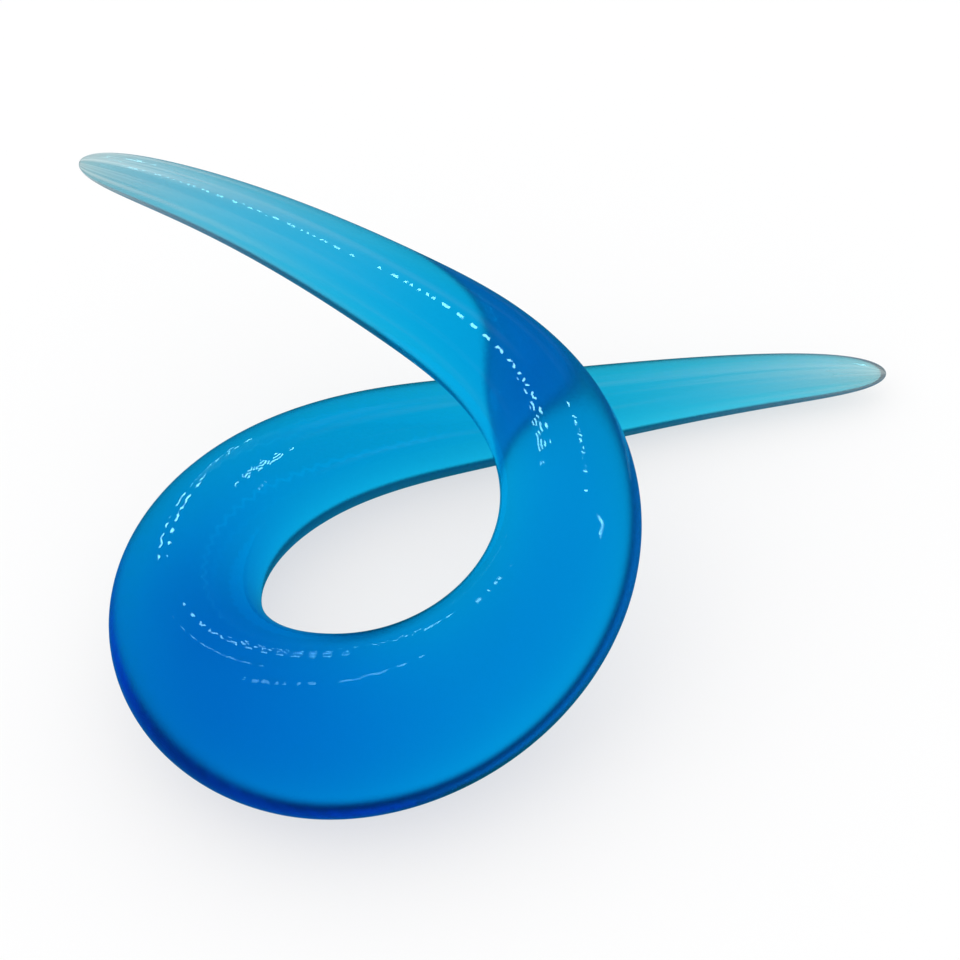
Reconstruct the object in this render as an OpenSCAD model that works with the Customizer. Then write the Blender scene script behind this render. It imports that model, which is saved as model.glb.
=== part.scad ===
// Twisted glass ear stretcher: one solid rod, thickest at its middle and tapered to two round tips,
// bent into a loop whose two arms cross without touching. Lengths are in millimetres.
// It lies as it rests by itself, on its loop and its lower arm, with the floor at Z = 0.
// The two halves are alike: half a turn about the line from the middle to the crossing swaps them.

/* [Rod] */
// Diameter at the middle of the rod, its thickest place
rod_d = 8; // [7:0.1:9]
// Diameter that the straight taper aims at towards each end
taper_d = 1.9; // [1.6:0.1:2.6]
// Power of the round nose on each tip: a higher one makes the nose shorter and blunter
nose_power = 32; // [16:1:64]
// Length of each arm along the rod, from its middle to its tip
arm_l = 50.2; // [47:0.1:54]

/* [Loop] */
// Angle that each arm turns through in its half of the loop
loop_turn = 156; // [152:1:160]
// Share of each arm that its half of the loop takes up
loop_share = 0.61; // [0.58:0.01:0.68]
// Power of the loop: a higher one keeps the bend round for longer before the arm straightens
loop_power = 4; // [3:0.5:5]
// Angle of the slight curl of each arm towards its tip
curl_turn = 15; // [0:1:20]
// Share of each arm that the curl takes up
curl_share = 0.46; // [0.2:0.01:0.5]

/* [Twist] */
// Climb of the rod at its middle, which holds the two arms apart at the crossing
mid_climb = 12; // [11:0.5:16]
// Climb at the tips, which brings them back a little
tip_climb = -4.4; // [-8:0.1:0]

/* [Rest] */
// Lean about X on the floor
lean_x = 7.6; // [0:0.1:15]
// Lean about Y on the floor
lean_y = -6.8; // [-15:0.1:0]
// Turn about Z on the floor
floor_turn = 57.8; // [0:0.1:360]

/* [Quality] */
// Even steps between the rings of points along each arm, up to its nose
arm_steps = 52; // [30:1:60]
// Sides of the rod's round section
sides = 36; // [24:2:40]
// Steps between the rings on each nose, up to its point
nose_steps = 7; // [4:1:10]

/* [Hidden] */

// Share of an arm over which the two tapers blend at the middle, so that no ridge shows there
BLEND = 0.06;
// Heading of the rod at its middle, so that the crossing lies on +X before the rod is laid down
MID_HEADING = -90;
// Share of an arm over which the rings come closer together towards its tip
NOSE = 0.05;

// Along the rod, t is the share of an arm: 0 at the middle and 1 at the tip.
function loop_part(x) = x * (loop_power + 1 - pow(x, loop_power)) / loop_power;
function heading(t) = MID_HEADING
    + loop_turn * loop_part(min(t / loop_share, 1))
    + curl_turn * pow(max(t - 1 + curl_share, 0) / curl_share, 2);
function climb(t) = tip_climb + (mid_climb - tip_climb) * (1 + cos(180 * t)) / 2;
function along(t) = [cos(climb(t)) * cos(heading(t)), cos(climb(t)) * sin(heading(t)), sin(climb(t))];

// Share of the taper used up at t, rounded off at the middle
function taper(t) = (sqrt(t * t + BLEND * BLEND) - BLEND) / (sqrt(1 + BLEND * BLEND) - BLEND);
function nose(t) = sqrt(1 - pow(t, nose_power));
function radius(t) = (rod_d - (rod_d - taper_d) * taper(t)) * nose(t) / 2;

// Share of an arm at each of its rings. The last one is the point of the tip, where the ring has shrunk to nothing.
arm_shares = concat(
    [for (k = [0 : arm_steps]) (1 - NOSE) * k / arm_steps],
    [for (k = [1 : nose_steps]) 1 - NOSE * pow(1 - k / nose_steps, 2)]
);
tip = len(arm_shares) - 1;
// Centre of the rod at each ring of one arm, added up from its middle
function step_after(k) =
    let (from = arm_shares[k], to = arm_shares[min(k + 1, tip)])
    arm_l * (to - from) * along((from + to) / 2);
arm_path = [for (k = 0, p = [0, 0, 0]; k <= tip; p = p + step_after(k), k = k + 1) p];

// The other arm is the same one after half a turn about X. The rod runs from that arm's tip to this one's,
// so its way along the other arm is the turned one, backwards.
function half_turned(p) = [p.x, -p.y, -p.z];
shares = [for (k = [-tip : tip]) sign(k) * arm_shares[abs(k)]];
centres = [for (k = [-tip : tip]) k < 0 ? half_turned(arm_path[-k]) : arm_path[k]];
ways = [for (t = shares) t < 0 ? -half_turned(along(-t)) : along(t)];

function unit(v) = v / norm(v);
// A ring round centre c, square to the way v: its first point lies level, to the side
function ring(c, v, r) =
    let (side = unit(cross(v, [0, 0, 1])), up = cross(side, v))
    [for (i = [0 : sides - 1]) c + r * (cos(360 * i / sides) * side + sin(360 * i / sides) * up)];

last = len(centres) - 1;
skin_rings = [for (i = [1 : last - 1]) ring(centres[i], ways[i], radius(abs(shares[i])))];
ring_count = len(skin_rings);
skin = concat([centres[0]], [for (r = skin_rings) each r], [centres[last]]);

// Lays the rod down: leans it about X, then about Y, and turns it about Z.
function leant_x(p) = [p.x, p.y * cos(lean_x) - p.z * sin(lean_x), p.y * sin(lean_x) + p.z * cos(lean_x)];
function leant_y(p) = [p.x * cos(lean_y) + p.z * sin(lean_y), p.y, p.z * cos(lean_y) - p.x * sin(lean_y)];
function turned_z(p) = [
    p.x * cos(floor_turn) - p.y * sin(floor_turn),
    p.x * sin(floor_turn) + p.y * cos(floor_turn),
    p.z
];
laid = [for (p = skin) turned_z(leant_y(leant_x(p)))];
// Its box stands centred on the origin, with its lowest point on the floor.
low = [for (i = [0 : 2]) min([for (p = laid) p[i]])];
high = [for (i = [0 : 2]) max([for (p = laid) p[i]])];
base = [(low.x + high.x) / 2, (low.y + high.y) / 2, low.z];

// Number of a ring's point in the skin; past the last side it comes round to the first
function at(r, i) = 1 + r * sides + i % sides;
faces = concat(
    [for (i = [0 : sides - 1]) [0, at(0, i + 1), at(0, i)]],
    [for (r = [0 : ring_count - 2], i = [0 : sides - 1]) [at(r, i), at(r + 1, i + 1), at(r + 1, i)]],
    [for (r = [0 : ring_count - 2], i = [0 : sides - 1]) [at(r, i), at(r, i + 1), at(r + 1, i + 1)]],
    [for (i = [0 : sides - 1]) [at(ring_count - 1, i), at(ring_count - 1, i + 1), len(skin) - 1]]
);

module glass_twist() {
    color([0.05, 0.55, 0.85, 0.6])
    polyhedron(points = [for (p = laid) p - base], faces = faces, convexity = 6);
}

glass_twist();
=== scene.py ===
"""Twisted ear stretcher: one solid rod of clear blue glass, thick at its middle and drawn out to two round
tips, bent into a loop with crossing arms. It lies on a pale floor by itself. Lengths are in metres."""
import math

import bpy
import numpy as np
from mathutils import Matrix, Vector


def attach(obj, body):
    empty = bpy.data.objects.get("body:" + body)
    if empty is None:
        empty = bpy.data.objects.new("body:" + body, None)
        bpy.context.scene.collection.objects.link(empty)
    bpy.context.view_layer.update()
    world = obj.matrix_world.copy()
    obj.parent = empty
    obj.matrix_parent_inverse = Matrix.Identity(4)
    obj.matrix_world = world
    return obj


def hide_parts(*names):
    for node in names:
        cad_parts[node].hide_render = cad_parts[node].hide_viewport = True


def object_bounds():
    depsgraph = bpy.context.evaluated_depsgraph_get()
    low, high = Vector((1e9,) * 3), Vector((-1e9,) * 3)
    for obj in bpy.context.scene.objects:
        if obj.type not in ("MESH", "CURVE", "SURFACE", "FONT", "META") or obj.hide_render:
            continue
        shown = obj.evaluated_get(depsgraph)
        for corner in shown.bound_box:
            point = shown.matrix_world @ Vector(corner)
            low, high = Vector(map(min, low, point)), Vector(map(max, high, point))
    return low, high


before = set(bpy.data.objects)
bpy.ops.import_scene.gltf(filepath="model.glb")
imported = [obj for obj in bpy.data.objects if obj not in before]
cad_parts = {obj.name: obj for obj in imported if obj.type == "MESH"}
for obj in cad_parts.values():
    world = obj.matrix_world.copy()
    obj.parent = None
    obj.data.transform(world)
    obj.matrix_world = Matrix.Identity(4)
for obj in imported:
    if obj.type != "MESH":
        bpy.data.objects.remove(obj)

cad_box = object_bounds()
MM = 0.001

# The rod's sizes, in millimetres, degrees and shares of an arm
ROD_D = 8.0
TAPER_D = 1.9
NOSE_POWER = 32
ARM_L = 50.2
LOOP_TURN = 156.0
LOOP_SHARE = 0.61
LOOP_POWER = 4
CURL_TURN = 15.0
CURL_SHARE = 0.46
MID_CLIMB = 12.0
TIP_CLIMB = -4.4
BLEND = 0.06
MID_HEADING = -90.0
LEAN_X = 7.6
LEAN_Y = -6.8
FLOOR_TURN = 57.8

# The skin is this much slimmer and shorter than the solid, so that it stays inside it.
SLIM = 0.997
SHORTER = 0.9998
ARM_RINGS = 215
SIDES = 96
# The rings come closer together over this share of an arm at its tip.
NOSE = 0.05
NOSE_RINGS = 16


# The rod's shape. t is the share of an arm: 0 at the rod's middle and 1 at the tip.
def heading(t):
    loop = np.minimum(t / LOOP_SHARE, 1)
    curl = np.maximum(t - 1 + CURL_SHARE, 0) / CURL_SHARE
    turned = LOOP_TURN * loop * (LOOP_POWER + 1 - loop**LOOP_POWER) / LOOP_POWER
    return np.radians(MID_HEADING + turned + CURL_TURN * curl**2)


def climb(t):
    return np.radians(TIP_CLIMB + (MID_CLIMB - TIP_CLIMB) * (1 + np.cos(math.pi * t)) / 2)


def along(t):
    """The way of the rod"""
    h, c = heading(t), climb(t)
    return np.stack([np.cos(c) * np.cos(h), np.cos(c) * np.sin(h), np.sin(c)], -1)


def radius(t):
    """The rod's radius: an even taper, rounded off at the middle, with a round nose at the tip"""
    taper = (np.sqrt(t * t + BLEND**2) - BLEND) / (math.sqrt(1 + BLEND**2) - BLEND)
    return (ROD_D - (ROD_D - TAPER_D) * taper) * np.sqrt(1 - t**NOSE_POWER) / 2


def turn(angle, axis):
    return np.array(Matrix.Rotation(math.radians(angle), 3, axis))


LAID = turn(FLOOR_TURN, "Z") @ turn(LEAN_Y, "Y") @ turn(LEAN_X, "X")


def centre_line():
    """Shares, centres and ways of the rings, from the lower arm's tip to the other, laid on the floor"""
    evenly = np.linspace(0, 1 - NOSE, ARM_RINGS)
    closer = 1 - NOSE * np.linspace(1, 0, NOSE_RINGS + 1)[1:] ** 2
    shares = np.concatenate([evenly, closer])
    lengths = np.diff(shares) * ARM_L * SHORTER
    steps = along((shares[:-1] + shares[1:]) / 2) * lengths[:, None]
    arm = np.vstack([np.zeros(3), np.cumsum(steps, 0)])
    # The lower arm is the other one after half a turn, and the rod runs back along it.
    half_turn = np.array([1, -1, -1])
    centres = np.vstack([(arm * half_turn)[:0:-1], arm])
    ways = np.vstack([(-along(shares) * half_turn)[:0:-1], along(shares)])
    shares = np.concatenate([-shares[:0:-1], shares])
    return shares, centres @ LAID.T, ways @ LAID.T


def rod_skin():
    """Points on the rod's rings, the points of its tips, the runs of the rings and the angles round them"""
    shares, centres, ways = centre_line()
    tips = centres[[0, -1]]
    shares, centres, ways = shares[1:-1], centres[1:-1], ways[1:-1]
    side = np.cross(ways, LAID @ np.array([0.0, 0.0, 1.0]))
    side /= np.linalg.norm(side, axis=1)[:, None]
    up = np.cross(side, ways)
    angles = np.arange(SIDES) * 2 * math.pi / SIDES
    out = np.cos(angles)[None, :, None] * side[:, None] + np.sin(angles)[None, :, None] * up[:, None]
    points = centres[:, None] + SLIM * radius(np.abs(shares))[:, None, None] * out
    return points, tips, shares * ARM_L, angles


def skin_faces(rings):
    """Four-sided faces between the rings, and a fan of three-sided ones round the point of each tip"""
    at = np.arange(rings * SIDES).reshape(rings, SIDES)
    after = np.roll(at, -1, 1)
    walls = np.stack([at[:-1], at[1:], after[1:], after[:-1]], -1).reshape(-1, 4)
    first, last = np.full(SIDES, rings * SIDES), np.full(SIDES, rings * SIDES + 1)
    first_fan = np.stack([first, at[0], after[0]], -1)
    last_fan = np.stack([last, after[-1], at[-1]], -1)
    return walls.tolist() + first_fan.tolist() + last_fan.tolist()


def glass_rod():
    points, tips, run, angles = rod_skin()
    rings = len(points)
    verts = np.vstack([points.reshape(-1, 3), tips])
    # The skin's box has the same middle as the solid's.
    low, high = [np.array(corner) for corner in cad_box]
    verts += (low + high) / 2 / MM - (verts.min(0) + verts.max(0)) / 2
    mesh = bpy.data.meshes.new("glass_rod")
    mesh.from_pydata((verts * MM).tolist(), [], skin_faces(rings))
    mesh.validate()
    mesh.shade_smooth()

    # Each point's place in the straight rod before it was bent: two lengths across it and one along it
    place = np.empty((rings, SIDES, 3))
    place[..., 0] = np.cos(angles) * ROD_D / 2
    place[..., 1] = np.sin(angles) * ROD_D / 2
    place[..., 2] = run[:, None]
    place = np.vstack([place.reshape(-1, 3), [0, 0, -ARM_L], [0, 0, ARM_L]])
    mesh.attributes.new("rod_place", "FLOAT_VECTOR", "POINT").data.foreach_set("vector", place.ravel())

    rod = bpy.data.objects.new("glass_rod", mesh)
    bpy.context.scene.collection.objects.link(rod)
    return rod


# Materials
class Sock:
    """A shader socket that can be reckoned with: its sums and products add Math nodes."""

    def __init__(self, tree, socket):
        self.tree, self.socket = tree, socket

    def math(self, operation, *values):
        inputs = dict(enumerate((self,) + values))
        return self.tree.node("ShaderNodeMath", {"operation": operation}, inputs)[0]

    def clamp(self):
        return self.tree.node("ShaderNodeClamp", {}, {"Value": self})[0]

    def __add__(self, other):
        return self.math("ADD", other)

    def __mul__(self, other):
        return self.math("MULTIPLY", other)

    def __sub__(self, other):
        return self.math("SUBTRACT", other)

    def __truediv__(self, other):
        return self.math("DIVIDE", other)

    def __rsub__(self, other):
        return (self * -1) + other

    def __lt__(self, other):
        return self.math("LESS_THAN", other)

    def __gt__(self, other):
        return self.math("GREATER_THAN", other)

    __radd__, __rmul__ = __add__, __mul__


class Tree:
    """A node tree that is filled by node(type, settings, sockets)."""

    def __init__(self, owner):
        owner.use_nodes = True
        self.nodes, self.links = owner.node_tree.nodes, owner.node_tree.links
        self.nodes.clear()

    def node(self, kind, settings=None, sockets=None):
        made = self.nodes.new(kind)
        for name, value in (settings or {}).items():
            setattr(made, name, value)
        for name, value in (sockets or {}).items():
            if isinstance(value, Sock):
                self.links.new(value.socket, made.inputs[name])
            else:
                made.inputs[name].default_value = value
        return Outputs(self, made)


class Outputs:
    """A node's outputs, by name or number"""

    def __init__(self, tree, made):
        self.tree, self.made = tree, made

    def __getitem__(self, name):
        return Sock(self.tree, self.made.outputs[name])


IOR = 1.48
# Roughness of what is seen through the glass, and of what is mirrored in it
SOFT = 0.22
POLISHED = 0.02
# Tints of what is seen through the glass: most of it, and a darker one that paints shade on the inside of
# the bend
LIGHT_TINT = (0.97, 0.98, 0.955, 1)
SHADE_TINT = (0.97, 0.84, 0.91, 1)
MIRROR_TINT = (0.35, 0.87, 1.0, 1)
MILK_WHITE = (0.62, 0.73, 0.74, 1)
# The glass lets this colour through the best. Of the others it takes out more, the denser it is.
PASSED = (0.0, 0.879, 0.987, 1)
DENSITY = 1300.0
# How well the flame has polished the thick middle, where the arms have 1, and the part of a polished skin's
# look that is mirrored even straight on
MIDDLE_POLISH = 0.2
MIRRORED_LEAST = 0.06
# How far in from its tip the lower arm is milky, as a share of the arm, and how milky it is at the tip, with
# what the arm that crosses over it has more
MILK_REACH, MORE_REACH = 0.32, 0.18
MILK, MORE_MILK = 0.34, 0.28
THREAD_MILK = 0.04
# Heights in the skin count in this many metres.
SKIN_UNIT = 0.00001
STREAK_H = 0.06
WAVE_H = 0.4
RING_H = 0.26
# Angle, in radians, that the wave of the fine rings goes through in each millimetre, and how far it sways
RING_PACE = 7
RING_SWAY = 6
# Where along the rod the darker tint of painted shade is strongest and how far it reaches each way, in
# millimetres
SHADE_MIDDLE = -6
SHADE_REACH = 13


def bump(t, height):
    skin = {"Strength": 1.0, "Distance": SKIN_UNIT, "Height": height}
    return t.node("ShaderNodeBump", {}, skin)["Normal"]


def mix(t, share, first, second):
    return t.node("ShaderNodeMixShader", {}, {"Fac": share, 1: first, 2: second})["Shader"]


def rising(value, start, steepness):
    """0 up to the start, and from there rising to 1"""
    return ((value - start) * steepness).clamp()


def seen_through(t, tint, normal):
    look = {"Color": tint, "Roughness": SOFT, "IOR": IOR, "Normal": normal}
    return t.node("ShaderNodeBsdfRefraction", {}, look)["BSDF"]


def clear_blue_glass():
    material = bpy.data.materials.new("clear_blue_glass")
    t = Tree(material)
    place = t.node("ShaderNodeAttribute", {"attribute_name": "rod_place"})["Vector"]
    parts = t.node("ShaderNodeSeparateXYZ", {}, {"Vector": place})
    # outward is 1 outside the bend and -1 inside it; share is 0 at the rod's middle and 1 at its tips.
    outward, run = parts["X"] * (2 / ROD_D), parts["Z"]
    share = run.math("ABSOLUTE") * (1 / ARM_L)

    # Streaks drawn out along the rod, soft waves that the flame left in its skin, and fine rings round it
    drawn = t.node("ShaderNodeMapping", {}, {"Vector": place, "Scale": (0.9, 0.9, 0.035)})["Vector"]
    streaks = t.node("ShaderNodeTexNoise", {}, {"Vector": drawn, "Scale": 1.0, "Detail": 3.0})[0]
    waves = t.node("ShaderNodeTexNoise", {}, {"Vector": place, "Scale": 0.25, "Detail": 1.0})[0]
    rings = (run * RING_PACE + waves * RING_SWAY).math("SINE")
    uneven = streaks * STREAK_H + waves * WAVE_H
    skin = bump(t, uneven)
    ringed = bump(t, uneven + rings * RING_H)

    # Painted shade: what is seen through the glass is tinted darker on the inside of the bend, on one side
    # of the middle.
    bend = (1 - (run - SHADE_MIDDLE).math("ABSOLUTE") / SHADE_REACH).clamp()
    shade_inside_bend = (0.2 - outward * 1.5 + waves * 0.8).clamp()
    clear = mix(t, bend * shade_inside_bend, seen_through(t, LIGHT_TINT, skin), seen_through(t, SHADE_TINT, skin))
    # The arms are brighter polished than the thick middle, where the flame has left the skin duller.
    polish = (share * 3 - 0.2).clamp() * (1 - MIDDLE_POLISH) + MIDDLE_POLISH
    shine = t.node("ShaderNodeFresnel", {}, {"IOR": IOR, "Normal": skin})[0]
    mirrored = t.node("ShaderNodeBsdfAnisotropic", {}, {
        "Color": MIRROR_TINT, "Roughness": POLISHED, "Normal": ringed})["BSDF"]
    mirror_share = shine * (polish + (1 - polish) * shine) + polish * MIRRORED_LEAST
    glass = mix(t, mirror_share.clamp(), clear, mirrored)

    # The thin ends are a little milky, the most at the tips. The arm that crosses over the other is milky
    # further in, and a few milky threads run along both.
    over = run > 0
    tipward = (1 - (1 - share) / (MILK_REACH + over * MORE_REACH)).clamp()
    milk = tipward * tipward * tipward * (MILK + over * MORE_MILK) * (0.6 + rising(streaks, 0.38, 4.0) * 0.8)
    threads = rising(streaks, 0.56, 8.0) * rising(share, 0.4, 3) * THREAD_MILK
    milky = t.node("ShaderNodeBsdfPrincipled", {}, {
        "Base Color": MILK_WHITE, "Roughness": 0.5, "IOR": IOR, "Normal": skin})["BSDF"]
    surface = mix(t, milk + threads, glass, milky)

    inside = t.node("ShaderNodeVolumeAbsorption", {}, {"Color": PASSED, "Density": DENSITY})["Volume"]
    t.node("ShaderNodeOutputMaterial", {}, {"Surface": surface, "Volume": inside})
    return material


rod = glass_rod()
rod.data.materials.append(clear_blue_glass())
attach(rod, "root")
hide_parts("glass_twist")

# Floor
FLOOR_HALF = 3.0
FLOOR_GREY = (0.28, 0.28, 0.28, 1)
FLOOR_GLOW = 0.66


def plain_floor():
    """A pale floor that glows a little, so that the glass is lit from below as well"""
    mesh = bpy.data.meshes.new("floor")
    corners = [(x * FLOOR_HALF, y * FLOOR_HALF, 0) for x, y in ((-1, -1), (1, -1), (1, 1), (-1, 1))]
    mesh.from_pydata(corners, [], [(0, 1, 2, 3)])
    floor = bpy.data.objects.new("floor", mesh)
    bpy.context.scene.collection.objects.link(floor)
    material = bpy.data.materials.new("pale_floor")
    t = Tree(material)
    paint = t.node("ShaderNodeBsdfPrincipled", {}, {
        "Base Color": FLOOR_GREY, "Roughness": 0.9, "Specular IOR Level": 0.1,
        "Emission Color": (1, 1, 1, 1), "Emission Strength": FLOOR_GLOW})
    t.node("ShaderNodeOutputMaterial", {}, {"Surface": paint["BSDF"]})
    mesh.materials.append(material)
    floor.visible_glossy = False


# Light. The small lamps hang at the height of the tent's roof, and the broad top light this far above them.
TENT_H = 3.0
TOP_GAP = 0.2
WHITE = (1, 1, 1, 1)
TEAL = (0.01, 0.1, 0.14, 1)
PAPER_GLOW = 0.9


def ceiling_light(name, middle, size, power):
    """A rectangle of light that looks straight down. middle is its place over the floor, for each metre of
    height."""
    data = bpy.data.lights.new(name, "AREA")
    data.shape, data.size, data.size_y, data.energy = "RECTANGLE", *size, power
    lamp = bpy.data.objects.new(name, data)
    lamp.location = (middle[0] * TENT_H, middle[1] * TENT_H, TENT_H)
    lamp.visible_camera = False
    bpy.context.scene.collection.objects.link(lamp)
    return lamp


def seen_in_glass(lamp, pattern):
    """Makes the light show as a reflection only. pattern gives its brightness, 0 to 1, from the shares of
    its length and width."""
    lamp.visible_diffuse = lamp.visible_transmission = False
    t = Tree(lamp.data)
    place = t.node("ShaderNodeNewGeometry")["Position"]
    shares = []
    for axis, size in enumerate((lamp.data.size, lamp.data.size_y)):
        way = lamp.rotation_euler.to_matrix().col[axis] / size
        gone = t.node("ShaderNodeVectorMath", {"operation": "DOT_PRODUCT"}, {0: place, 1: way})["Value"]
        shares.append(gone + (0.5 - way.dot(lamp.location)))
    glow = t.node("ShaderNodeEmission", {}, {"Strength": pattern(*shares)})
    t.node("ShaderNodeOutputLight", {}, {"Surface": glow["Emission"]})


def lamp_row(name, start, end, width, glow, pattern):
    """A row of lamps or a tube of light. Its start, end and width are for each metre of height."""
    way = Vector(end) - Vector(start)
    size = (way.length * TENT_H, width * TENT_H)
    # An area light of P watts glows with P over pi and its area.
    row = ceiling_light(name, (Vector(start) + Vector(end)) / 2, size, glow * math.pi * size[0] * size[1])
    row.rotation_euler.z = math.atan2(way.y, way.x)
    seen_in_glass(row, pattern)


def small_lamps(count, lit):
    """count lamps side by side along the row, each lit over this share of its stretch"""
    return lambda length, width: (length * count).math("FRACT") < lit


def even(length, width):
    return 1.0


def fading(length, width):
    """Brightest at the middle of its length"""
    return 1 - (2 * length - 1).math("ABSOLUTE")


def light_tent():
    """White cloth all round, a little brighter overhead. The glass mirrors a dim teal room in its place, and
    the camera sees plain paper behind the floor."""
    world = bpy.data.worlds.new("light_tent")
    bpy.context.scene.world = world
    t = Tree(world)
    height = t.node("ShaderNodeSeparateXYZ", {}, {"Vector": t.node("ShaderNodeTexCoord")["Generated"]})["Z"]
    rise, sink = height.clamp(), (height * -1).clamp()
    ray = t.node("ShaderNodeLightPath")
    cloth, room, paper = [
        t.node("ShaderNodeBackground", {}, {"Color": color, "Strength": strength})["Background"]
        for color, strength in ((WHITE, 0.85 + rise * 0.25), (TEAL, 1 + sink * 2), (WHITE, PAPER_GLOW))
    ]
    seen = mix(t, ray["Is Camera Ray"], mix(t, ray["Is Glossy Ray"], cloth, room), paper)
    t.node("ShaderNodeOutputWorld", {}, {"Surface": seen})


def soft_light():
    light_tent()
    top = ceiling_light("top_light", (0, 0.17), (7.0, 7.0), 55)
    top.location.z += TOP_GAP
    top.visible_glossy = False
    lamp_row("front_lamp", (-0.209, 0.392), (-0.190, 0.356), 0.10, 8, even)
    lamp_row("tip_lamps", (-0.543, 0.615), (-0.260, 0.390), 0.08, 7, small_lamps(3, 0.4))
    lamp_row("side_lamps", (0.72, 0.53), (0.72, 0.11), 0.13, 10, small_lamps(5, 0.35))
    lamp_row("left_lamps", (0.02, 1.6), (0.18, 2.9), 0.10, 12, small_lamps(3, 0.3))
    lamp_row("back_lamps", (-0.30, 1.8), (0.10, 3.6), 0.10, 12, small_lamps(4, 0.3))
    lamp_row("side_tube", (1.3, 0.03), (2.2, -0.20), 0.08, 10, fading)
    lamp_row("far_tube", (-0.36, 1.24), (-0.28, 0.95), 0.03, 10, fading)


plain_floor()
soft_light()

# The camera stands before the object and looks down on it. It stands at this distance from the rod's thick
# middle and aims at a point in the loop.
MIDDLE = Vector((-11.393, -13.373, 4.092)) * MM
VIEW_ELEVATION = 46.7
VIEW_ROLL = 14.05
VIEW_DISTANCE = 135.8 * MM
AIM = Vector((-1.06, -3.91, 6.0)) * MM
LENS = 118.0
SENSOR = 36.0


def camera():
    data = bpy.data.cameras.new("camera")
    data.lens, data.sensor_width = LENS, SENSOR
    data.clip_start, data.clip_end = 0.005, 20.0
    eye = bpy.data.objects.new("camera", data)
    bpy.context.scene.collection.objects.link(eye)
    rise = math.radians(VIEW_ELEVATION)
    back = Vector((0, -math.cos(rise), math.sin(rise)))
    place = MIDDLE + VIEW_DISTANCE * back
    look = (AIM - place).to_track_quat("-Z", "Y").to_matrix()
    rolled = look @ Matrix.Rotation(math.radians(-VIEW_ROLL), 3, "Z")
    eye.matrix_world = Matrix.Translation(place) @ rolled.to_4x4()
    bpy.context.scene.camera = eye


camera()
bpy.context.scene.view_settings.view_transform = "Standard"
